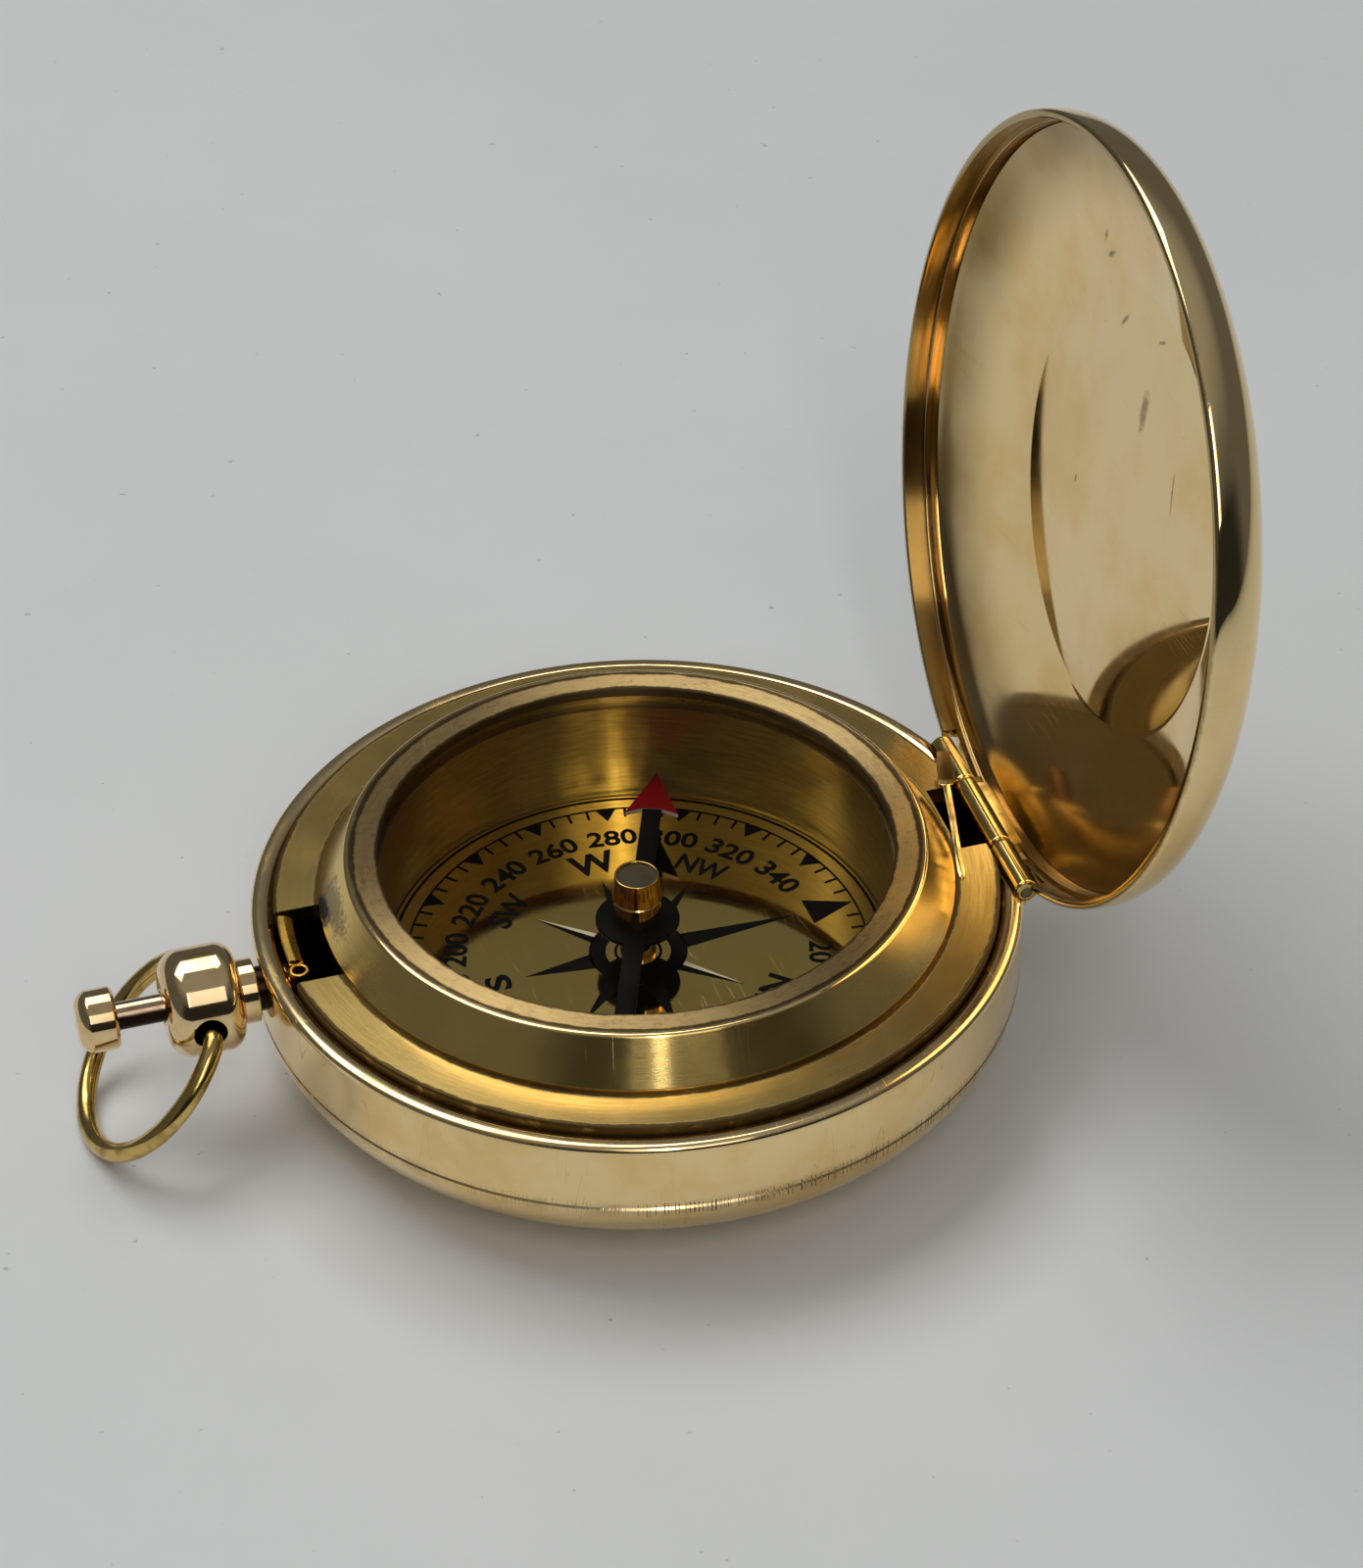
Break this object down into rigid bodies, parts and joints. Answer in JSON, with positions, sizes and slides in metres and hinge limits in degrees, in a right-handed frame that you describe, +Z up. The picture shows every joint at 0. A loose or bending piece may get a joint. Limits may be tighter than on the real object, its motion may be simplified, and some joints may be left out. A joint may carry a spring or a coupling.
{
  "type": "pocket compass",
  "caption": "Brass hunter-case pocket compass with a domed hinged lid, a push button at the pendant, a wire bow, and a needle turning over a dial under glass.",
  "frame": {"origin": "centre of the flat base that the case rests on", "axes": "+Z up through the needle's pivot, +X towards the lid's hinge, -X towards the button"},
  "size_m": [0.0719, 0.05, 0.0601],
  "materials": {
    "polished_brass": "polished",
    "brushed_brass": "brushed",
    "dial_brass": "lacquered",
    "aged_brass": "satin",
    "polished_steel": "polished",
    "spring_steel": "satin",
    "black_enamel": "satin",
    "red_enamel": "satin",
    "jewel_grey": "polished",
    "crystal_glass": "clear"
  },
  "bodies": {
    "case_body": {"case_back": "polished_brass", "case_band": "polished_brass", "top_plate": "brushed_brass", "bezel": "brushed_brass", "crystal": "crystal_glass", "compass_bowl": "polished_brass", "dial_plate": "dial_brass", "pivot_bush": "polished_brass", "pivot_pin": "polished_steel", "case_knuckles": "aged_brass", "hinge_pin": "polished_steel", "lift_spring": "spring_steel", "lock_spring_rivet": "aged_brass", "pendant": "polished_brass"},
    "lid_body": {"lid_rim": "polished_brass", "lid_cover": "polished_brass", "lid_knuckle": "aged_brass"},
    "needle_body": {"needle": "black_enamel", "needle_cap": "polished_brass", "cap_jewel": "jewel_grey"},
    "button_body": {"push_rod": "polished_steel", "push_button": "polished_brass"},
    "lock_body": {"lock_spring": "polished_brass"},
    "bow_body": {"bow": "aged_brass"}
  },
  "joints": [
    {"name": "lid_hinge", "type": "hinge", "parent": "case_body", "child": "lid_body", "pos_m": [0.0238, 0, 0.0117], "axis": [0, 1, 0], "range_deg": [-97.3, 0]},
    {"name": "needle_spin", "type": "hinge", "parent": "case_body", "child": "needle_body", "pos_m": [0, 0, 0.00866], "axis": [0, 0, 1], "continuous": true},
    {"name": "button_press", "type": "slide", "parent": "case_body", "child": "button_body", "axis": [1, 0, 0], "range_m": [0, 0.0012], "stiffness_N_per_m": 400},
    {"name": "lock_flex", "type": "hinge", "parent": "case_body", "child": "lock_body", "pos_m": [-0.01293, 0.01847, 0.00925], "axis": [0, 0, 1], "range_deg": [0, 6]},
    {"name": "bow_swing", "type": "hinge", "parent": "case_body", "child": "bow_body", "pos_m": [-0.0289, 0, 0.00925], "axis": [0, 1, 0], "range_deg": [-50, 145]}
  ],
  "couplings": [
    {"joint": "lock_flex", "follows": "button_press", "rad_per_m": 54.136}
  ]
}
